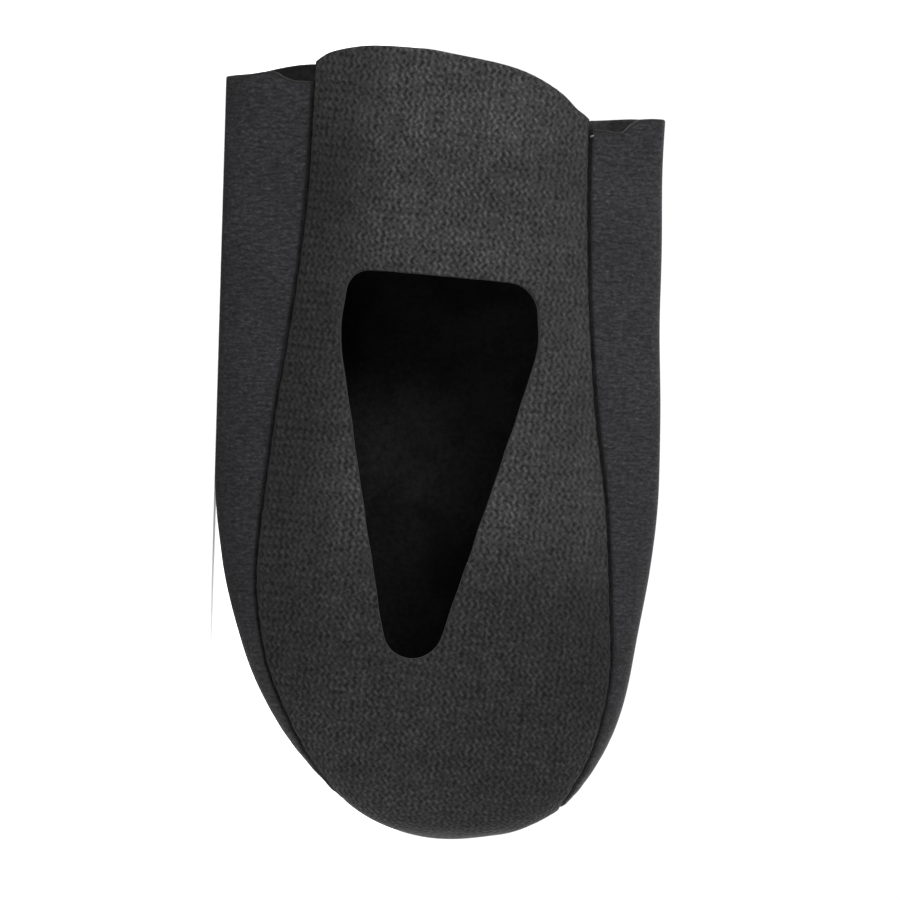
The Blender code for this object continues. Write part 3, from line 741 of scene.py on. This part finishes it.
def zigzag_knit():
    """Coarse knit of textured black yarn. The eye gets upright zigzags of soft grey yarn with dark
    gaps, uneven from loop to loop, and short dark ticks where the seam pulls at the courses. Painted
    light makes the inner half lighter, most towards the rear and a little at the tip, and the collar's
    edge a little lighter; painted shade darkens it near the inner edge in the toe half and in the seam."""
    material, tree, shader = new_cloth("hard_wearing_zigzag_knit", Roughness=0.86, Sheen_Weight=0.03,
                                       Sheen_Roughness=0.5, Specular_IOR_Level=0.10)
    cloth = add(tree, "UVMap", {}, uv_map="cloth")
    spot = add(tree, "SeparateXYZ", {0: cloth})
    # The inner (upper) half of the panel: it weakens the seam's ticks and carries the painted light below
    inner_half = add(tree, "MapRange", {0: spot.outputs[0], 1: 0.24, 2: 0.46},
                     interpolation_type="SMOOTHSTEP")
    wander = add(tree, "TexNoise", {"Vector": cloth, "Scale": 22.0, "Detail": 4.0,
                                    "Roughness": 0.62}, noise_dimensions="2D")
    drift = add(tree, "VectorMath", {0: wander.outputs["Color"], 1: (0.5, 0.5, 0.5)},
                operation="SUBTRACT")
    eased = add(tree, "VectorMath", {0: drift, 3: 0.0130}, operation="SCALE")
    moved = add(tree, "VectorMath", {0: cloth, 1: eased}, operation="ADD")
    split = add(tree, "SeparateXYZ", {0: moved})
    course = add(tree, "Math", {0: split.outputs[1], 1: 100 / COURSE}, operation="MULTIPLY")
    course_way = add(tree, "Math", {0: course, 1: 2 * math.pi}, operation="MULTIPLY")
    ribbed = add(tree, "Math", {0: course_way}, operation="COSINE")
    aside = add(tree, "Math", {0: ribbed, 1: -LEAN / WALE}, operation="MULTIPLY")
    wale = add(tree, "Math", {0: split.outputs[0], 1: 100 / WALE, 2: aside}, operation="MULTIPLY_ADD")
    turn_way = add(tree, "Math", {0: wale, 1: 2 * math.pi}, operation="MULTIPLY")
    wave = add(tree, "Math", {0: turn_way}, operation="COSINE")
    ridge = add(tree, "MapRange", {0: wave, 1: -1.0, 2: 1.0})
    # The legs that lean one way come out lighter and stand higher than the others
    which_leg = add(tree, "Math", {0: course_way}, operation="SINE")
    leg_weight = add(tree, "MapRange", {0: which_leg, 1: -1.0, 2: 1.0, 3: 1.2, 4: 0.8})
    near = add(tree, "Attribute", {}, attribute_name="seam_mm").outputs["Fac"]
    by_seam = add(tree, "MapRange", {0: spot.outputs[1], 1: 1.1, 2: 1.5, 3: 0.84, 4: 1.20})
    calm = add(tree, "MapRange", {0: near, 1: 3.0, 2: 22.0, 3: by_seam, 4: 1.12})
    still = add(tree, "MapRange", {0: calm, 1: 0.70, 2: 1.0, 3: 0.09, 4: 0.0})
    yarn = add(tree, "Math", {0: ridge, 1: leg_weight}, operation="MULTIPLY")
    loops = add(tree, "TexNoise", {"Vector": cloth, "Scale": 100 / TUFT, "Detail": 1.0,
                                   "Roughness": 0.5}, noise_dimensions="2D")
    woolly = add(tree, "MapRange", {0: loops, 1: 0.30, 2: 0.70, 3: -0.40, 4: 0.40})
    mottle = add(tree, "TexNoise", {"Vector": cloth, "Scale": 100 / MOTTLE, "Detail": 3.0,
                                    "Roughness": 0.75}, noise_dimensions="2D")
    lift = add(tree, "MapRange", {0: mottle, 1: 0.25, 2: 0.75, 3: -0.26, 4: 0.26})
    uneven = add(tree, "Math", {0: woolly, 1: lift}, operation="ADD")
    loose = add(tree, "Math", {0: yarn, 1: 0.60, 2: uneven}, operation="MULTIPLY_ADD")
    raised = add(tree, "Math", {0: loose, 1: calm, 2: still}, operation="MULTIPLY_ADD")
    pulled = add(tree, "MapRange", {0: near, 1: 4.0, 2: 18.0, 3: 0.90, 4: 0.0})
    pulled_side = add(tree, "MapRange", {0: inner_half, 3: 1.0, 4: 0.25})
    pull = add(tree, "Math", {0: pulled, 1: pulled_side}, operation="MULTIPLY")
    rib = add(tree, "MapRange", {0: ribbed, 1: -0.4, 2: 1.0, 3: 0.0, 4: -0.42})
    height = add(tree, "Math", {0: rib, 1: pull, 2: raised}, operation="MULTIPLY_ADD")
    level = add(tree, "MapRange", {0: height, 1: -0.45, 2: 0.95})
    shade = add(tree, "Mix", {"Factor": level, 6: linear("#101010"), 7: linear("#303030")},
                data_type="RGBA")
    glint = add(tree, "MapRange", {0: height, 1: 0.80, 2: 1.20, 3: 0.0, 4: 0.6})
    ticked = add(tree, "Mix", {"Factor": glint, 6: shade.outputs[2], 7: linear("#414141")},
                 data_type="RGBA")
    # Dye blotches times a painted shade where the knit rolls into the seam
    dye_and_seam_shade = dye_times_seam_shade(tree, cloth, 5.0, 3.0, woolly, -1.0, 0.1, 0.8)
    # Painted light and shade on the inner half: lighter towards the rear and a little at the tip, darker
    # near the inner edge in the toe half
    painted_inner_edge_shade = add(tree, "MapRange", {0: spot.outputs[0], 1: 0.62, 2: 0.86, 3: 0.01, 4: -0.09})
    painted_rear_light = add(tree, "MapRange", {0: spot.outputs[1], 1: 1.20, 2: 0.90, 3: painted_inner_edge_shade, 4: 0.41},
                    interpolation_type="SMOOTHSTEP")
    painted_tip_light = add(tree, "MapRange", {0: spot.outputs[1], 1: 1.50, 2: 1.85, 3: 0.0, 4: 0.13})
    painted_light_along = add(tree, "Math", {0: painted_rear_light, 1: painted_tip_light}, operation="ADD")
    # Painted light: the whole panel a little lighter at the collar's edge, on a base of 0.60
    at_collar = add(tree, "MapRange", {0: spot.outputs[1], 1: 0.14, 2: 0.02, 3: 0.60, 4: 0.77},
                    interpolation_type="SMOOTHSTEP")
    # The painted light factor: the painted light on the inner half plus the collar's painted light
    painted_light_factor = add(tree, "Math", {0: painted_light_along, 1: inner_half, 2: at_collar}, operation="MULTIPLY_ADD")
    dye_and_painted_shading = add(tree, "Math", {0: dye_and_seam_shade, 1: painted_light_factor}, operation="MULTIPLY")
    colour = add(tree, "VectorMath", {0: ticked.outputs[2], 3: dye_and_painted_shading}, operation="SCALE")
    finish_cloth(tree, shader, colour.outputs[0], height, 0.5, 0.00022)
    return material


station, turn = panel_stations()
cut_edges = np.concatenate([outer_face(station[0], turn[0]), off_plan_places(panel_outline()[0])])
panel_sheet = faces_of_sheet(station, turn, PANEL_WALL, cut_edges, 1)
across, along = cloth_places(station, turn)
cloth = (across * math.cos(KNIT_TILT) + along * math.sin(KNIT_TILT),
         along * math.cos(KNIT_TILT) - across * math.sin(KNIT_TILT))
out = np.arange(station.size).reshape(station.shape)
out = np.concatenate([out, out[:, :1]], axis=1)
back = out + station.size
panel_groups = (
    (1, quads(out[:WINDOW_CUT_ROWS])),
    (0, quads(out[WINDOW_CUT_ROWS - 1:])),
    (2, quads(back)[:, ::-1]),
    (1, strip(out[0], back[0])),
    (1, strip(out[-1, ::-1], back[-1, ::-1])),
)
panel = make_sheet("knitted_sole_panel", panel_sheet, panel_groups, (zigzag_knit(), CUT, LINING), cloth)
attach(panel, "root")
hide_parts("sole_panel")

# The seam

# The two sheets are overlocked edge to edge from inside with black thread: a flat ridge of loops
# runs along the seam's inner side, and outside a bar of thread crosses the slit at each stitch.
RIDGE_HALF_WIDTH = 0.0019
RIDGE_HALF_HEIGHT = 0.0009
RIDGE_DEPTH = 0.0026        # the ridge's middle lies this deep under the outer face
RIDGE_SIDES = 12
OUTER_CORNER = 0.0112       # the sewing starts this far from the collar's rearmost point
INNER_CORNER = 0.0190
STITCH = 0.0021             # from one bar to the next
BAR_REACH = 0.0006          # a bar runs this far to each side of the slit
BAR_RADIUS = 0.00011
BAR_DEPTH = 0.0007          # its ends lie this deep under the outer face
BAR_SAG = 0.0006            # its middle lies deeper by this
BAR_POINTS = 7
THREAD_SIDES = 6


def tubes(paths, side, up, half_side, half_up, sides):
    """Threads along many paths at once: round each path's points a ring of points at an ellipse's
    half sizes, with closed ends. Returns points and faces."""
    angle = np.linspace(0, 2 * np.pi, sides, endpoint=False)[:, None]
    rings = (paths[:, :, None] + half_side * np.cos(angle) * side[:, :, None]
             + half_up * np.sin(angle) * up[:, :, None])
    index = np.arange(rings[..., 0].size).reshape(rings.shape[:3])
    ring = np.concatenate([index, index[:, :, :1]], axis=2)
    wall = np.stack([ring[:, :-1, :-1], ring[:, :-1, 1:], ring[:, 1:, 1:], ring[:, 1:, :-1]], axis=-1)
    return rings.reshape(-1, 3), ((0, wall.reshape(-1, 4)), (0, index[:, 0, ::-1]), (0, index[:, -1]))


def overlock_thread():
    """Spun polyester thread in black dye, wound over the seam in slanting loops. The eye gets narrow
    soft bands with dark gaps."""
    material, tree, shader = new_cloth("black_polyester_thread", Roughness=0.7, Sheen_Weight=0.02,
                                       Specular_IOR_Level=0.15)
    run = add(tree, "Attribute", {}, attribute_name="run_mm")
    place = add(tree, "TexCoord", {}).outputs["Object"]
    uneven = add(tree, "TexNoise", {"Vector": place, "Scale": 500.0})
    shifted = add(tree, "Math", {0: uneven, 1: 2.2, 2: run.outputs["Fac"]}, operation="MULTIPLY_ADD")
    band = add(tree, "Math", {0: shifted, 1: 2 * math.pi / 0.9}, operation="MULTIPLY")
    wave = add(tree, "Math", {0: band}, operation="SINE")
    tone = add(tree, "MapRange", {0: wave, 1: -1.0, 2: 1.0})
    shade = add(tree, "Mix", {"Factor": tone, 6: linear("#050505"), 7: linear("#141414")},
                data_type="RGBA")
    finish_cloth(tree, shader, shade.outputs[2], tone, 0.7, 0.0003)
    return material


THREAD = overlock_thread()
collar_corner = np.where(SEAM_RUN < SEAM_RUN[-1] / 2, OUTER_CORNER, INNER_CORNER)
sewn = SEAM_PLACE[:, 0] > collar_corner - LENGTH / 2
middle = (SEAM_PLACE - RIDGE_DEPTH * SEAM_NORMAL)[sewn]
ridge_points, ridge_faces = tubes(middle[None], SEAM_ACROSS[None, sewn], SEAM_NORMAL[None, sewn],
                                  RIDGE_HALF_WIDTH, RIDGE_HALF_HEIGHT, RIDGE_SIDES)
ridge = make_piece("overlocked_seam", ridge_points, ridge_faces, (THREAD,),
                   run_mm=np.repeat(SEAM_RUN[sewn], RIDGE_SIDES))
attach(ridge, "root")

stitch_at = np.arange(SEAM_RUN[sewn][0] + STITCH, SEAM_RUN[sewn][-1], STITCH)
which = np.searchsorted(SEAM_RUN, stitch_at)
reach = np.linspace(-1, 1, BAR_POINTS)
dip = BAR_SAG * (1 - reach ** 2) + BAR_DEPTH
bars = (SEAM_PLACE[which][:, None] + SEAM_ACROSS[which][:, None] * reach[:, None] * BAR_REACH
        - SEAM_NORMAL[which][:, None] * dip[:, None])
bar_way = unit(np.gradient(bars, axis=1))
bar_side = unit(np.cross(SEAM_NORMAL[which][:, None], bar_way))
bar_points, bar_faces = tubes(bars, bar_side, np.cross(bar_way, bar_side), BAR_RADIUS, BAR_RADIUS,
                              THREAD_SIDES)
stitches = make_piece("seam_stitches", bar_points, bar_faces, (THREAD,),
                      run_mm=np.repeat(stitch_at, BAR_POINTS * THREAD_SIDES))
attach(stitches, "root")

# Thread ends

# Where the overlocking starts at the inner collar corner, the cut ends of two undyed threads, one
# of them finer, stand half a millimetre out of the seam.
FIBRES = (  # station and turn of the root, the way it points along x, y and z in mm, its half width
    (0.0675, 0.150, (-0.2, -0.5, 0.3), 0.00020),
    (0.0675, 0.153, (-0.4, -0.3, 0.1), 0.00008),
)
FIBRE_ROOT = 0.0003         # they start this deep under the face
FIBRE_CURL = 0.0004         # how far they curl up
FIBRE_BEND = 2.6            # through which angle


def spun_white():
    """Undyed spun thread, cut by scissors. A small bright speck in the dark cloth."""
    material, tree, shader = new_cloth("undyed_spun_thread", Roughness=0.8, Specular_IOR_Level=0.2)
    place = add(tree, "TexCoord", {}).outputs["Object"]
    twist = add(tree, "TexNoise", {"Vector": place, "Scale": 3000.0})
    shade = add(tree, "Mix", {"Factor": twist, 6: linear("#4a4a48"), 7: linear("#8a8a86")},
                data_type="RGBA")
    tree.links.new(shade.outputs[2], shader.inputs["Base Color"])
    return material


root_station, root_turn, fibre_run, fibre_width = (np.array(column) for column in zip(*FIBRES))
root = outer_face(root_station, root_turn)[:, None]
lift = outward(root_station, root_turn)[:, None]
share = np.linspace(0, 1, 8)[:, None]
curl = FIBRE_CURL * np.sin(share * FIBRE_BEND)
fibre_paths = root - lift * FIBRE_ROOT + fibre_run[:, None] / 1000 * share + lift * curl
fibre_way = unit(np.gradient(fibre_paths, axis=1))
fibre_side = unit(np.cross(fibre_way, lift + (0.0, 0.3, 0.0)))
fibre_width = fibre_width[:, None, None, None]
fibre_points, fibre_faces = tubes(fibre_paths, fibre_side, np.cross(fibre_way, fibre_side),
                                  fibre_width, fibre_width, THREAD_SIDES)
fibres = make_piece("thread_ends", fibre_points, fibre_faces, (spun_white(),))
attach(fibres, "root")

# Floor, light and camera

# A white paper floor without an edge in sight that glows a little, so that shadows stay pale, a key
# light from the collar's side, a softer one from above, a broad fill from behind and the toe, and
# the camera square to the sole, level with the middle of the cover.
FLOOR_HALF = 12.0
CAMERA_AWAY = 2.5
VIEW_WIDTH = 0.2160         # what the picture takes in at the cover
ROLL = 0.02900334           # sine of the camera's roll
LOOK_AT = (0.0011, -0.012, 0.0563)
SENSOR = 36                 # the camera's sensor, in millimetres across
PAPER_GLOW = 0.27
ROOM_LIGHT = 0.55           # strength of the room's light on the cover
BACKDROP = 1.05             # and as the camera sees it beyond the floor

floor_data = bpy.data.meshes.new("studio_floor")
floor_data.from_pydata([(-FLOOR_HALF, -FLOOR_HALF, 0), (FLOOR_HALF, -FLOOR_HALF, 0),
                        (FLOOR_HALF, FLOOR_HALF, 0), (-FLOOR_HALF, FLOOR_HALF, 0)], [], [(0, 1, 2, 3)])
floor = put("studio_floor", floor_data)
paper, paper_tree, paper_shader = new_cloth("lit_paper_floor", Roughness=0.9, Specular_IOR_Level=0.1,
                                            Emission_Color=linear("#ffffff"), Emission_Strength=PAPER_GLOW)
grain_at = add(paper_tree, "TexCoord", {})
grain = add(paper_tree, "TexNoise", {"Vector": grain_at.outputs["Object"], "Scale": 40.0})
paper_tone = add(paper_tree, "Mix", {"Factor": grain, 6: linear("#f2f2f2"), 7: linear("#f7f7f7")},
                 data_type="RGBA")
paper_tree.links.new(paper_tone.outputs[2], paper_shader.inputs["Base Color"])
floor_data.materials.append(paper)

world = bpy.data.worlds.new("soft_room")
world.use_nodes = True
air = world.node_tree
room = air.nodes["Background"]
room.inputs["Color"].default_value = linear("#ffffff")
path = add(air, "LightPath", {})
glow = add(air, "MapRange", {0: path.outputs["Is Camera Ray"], 3: ROOM_LIGHT, 4: BACKDROP})
air.links.new(glow.outputs[0], room.inputs["Strength"])
bpy.context.scene.world = world

# Each light's way from the cover, its strength and how wide it looks, in degrees
LIGHTS = {
    "soft_key": ((-0.69, -1.00, 0.48), 2.9, 24),
    "soft_overhead": ((0.05, -0.30, 1.00), 1.5, 34),
    "floor_fill": ((0.45, 0.80, 0.60), 3.4, 70),
}
for light_name, (light_way, strength, wide) in LIGHTS.items():
    light_data = bpy.data.lights.new(light_name, "SUN")
    light_data.energy = strength
    light_data.angle = math.radians(wide)
    back_way = unit(np.array(light_way))
    side_way = unit(np.cross((0, 0, 1), back_way))
    axes = np.eye(4)
    axes[:3] = np.stack([side_way, np.cross(back_way, side_way), back_way, back_way * 2], axis=1)
    put(light_name, light_data).matrix_world = Matrix(axes)

camera_data = bpy.data.cameras.new("camera")
camera_data.sensor_width = SENSOR
camera_data.lens = SENSOR * CAMERA_AWAY / VIEW_WIDTH
camera = put("camera", camera_data)
level = math.sqrt(1 - ROLL ** 2)
camera.matrix_world = Matrix(((-ROLL, -level, 0, LOOK_AT[0]), (0, 0, -1, LOOK_AT[1] - CAMERA_AWAY),
                              (level, -ROLL, 0, LOOK_AT[2]), (0, 0, 0, 1)))
bpy.context.scene.camera = camera
bpy.context.scene.view_settings.view_transform = "Standard"
